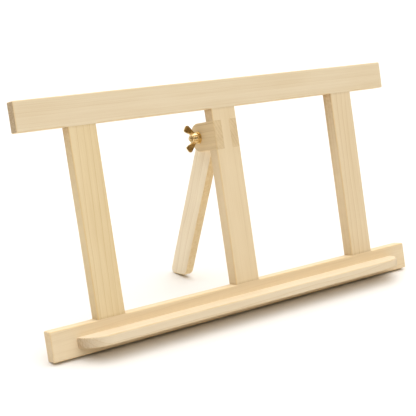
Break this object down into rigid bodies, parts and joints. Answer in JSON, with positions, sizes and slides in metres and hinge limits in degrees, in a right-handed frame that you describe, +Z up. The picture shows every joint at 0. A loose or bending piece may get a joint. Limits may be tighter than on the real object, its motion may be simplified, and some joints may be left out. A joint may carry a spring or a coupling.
{
  "type": "wooden artist easel",
  "caption": "Table easel: a leaning wooden frame of rails and stiles with a picture ledge, and a folding prop leg clamped in a clevis by a brass wing nut.",
  "frame": {"origin": "on the floor, midway between the rail ends and midway between the front of the ledge and the back of the foot", "axes": "+X to the right along the rails seen from the front, +Y to the back where the prop leg stands, +Z up from the floor"},
  "size_m": [0.5, 0.1956, 0.2642],
  "materials": {
    "pale_wood": "fine sanded and unvarnished, straight pale grain",
    "warm_wood": "fine sanded and unvarnished, slightly yellower grain with a few darker lines",
    "cross_wood": "fine sanded, grain front to back with darker end grain at the front",
    "dowel_wood": "fluted beech dowel",
    "brass": "cast and turned brass, semi bright",
    "zinc_steel": "zinc plated"
  },
  "bodies": {
    "frame": {"top_rail": "pale_wood", "bottom_rail": "pale_wood", "left_stile": "warm_wood", "centre_stile": "pale_wood", "right_stile": "pale_wood", "ledge": "pale_wood", "left_cheek": "cross_wood", "right_cheek": "cross_wood", "pivot_bolt": "brass", "left_top_dowels": "dowel_wood", "left_bottom_dowels": "dowel_wood", "centre_top_dowels": "dowel_wood", "centre_bottom_dowels": "dowel_wood", "right_top_dowels": "dowel_wood", "right_bottom_dowels": "dowel_wood", "ledge_screws": "zinc_steel"},
    "leg": {"prop_leg": "pale_wood"},
    "clamp_washer": {"washer": "brass"},
    "clamp_nut": {"wing_nut": "brass"}
  },
  "joints": [
    {"name": "leg_swing", "type": "hinge", "parent": "frame", "child": "leg", "pos_m": [0, 0.01163, 0.1949], "axis": [1, 0, 0], "range_deg": [-34, 146]},
    {"name": "washer_travel", "type": "slide", "parent": "frame", "child": "clamp_washer", "axis": [-1, 0, 0], "range_m": [0, 0.006]},
    {"name": "wing_nut_turn", "type": "hinge", "parent": "clamp_washer", "child": "clamp_nut", "pos_m": [0, 0.01163, 0.1949], "axis": [-1, 0, 0], "range_deg": [0, 2160]}
  ],
  "couplings": [
    {"joint": "wing_nut_turn", "follows": "washer_travel", "rad_per_m": 6283.2}
  ]
}
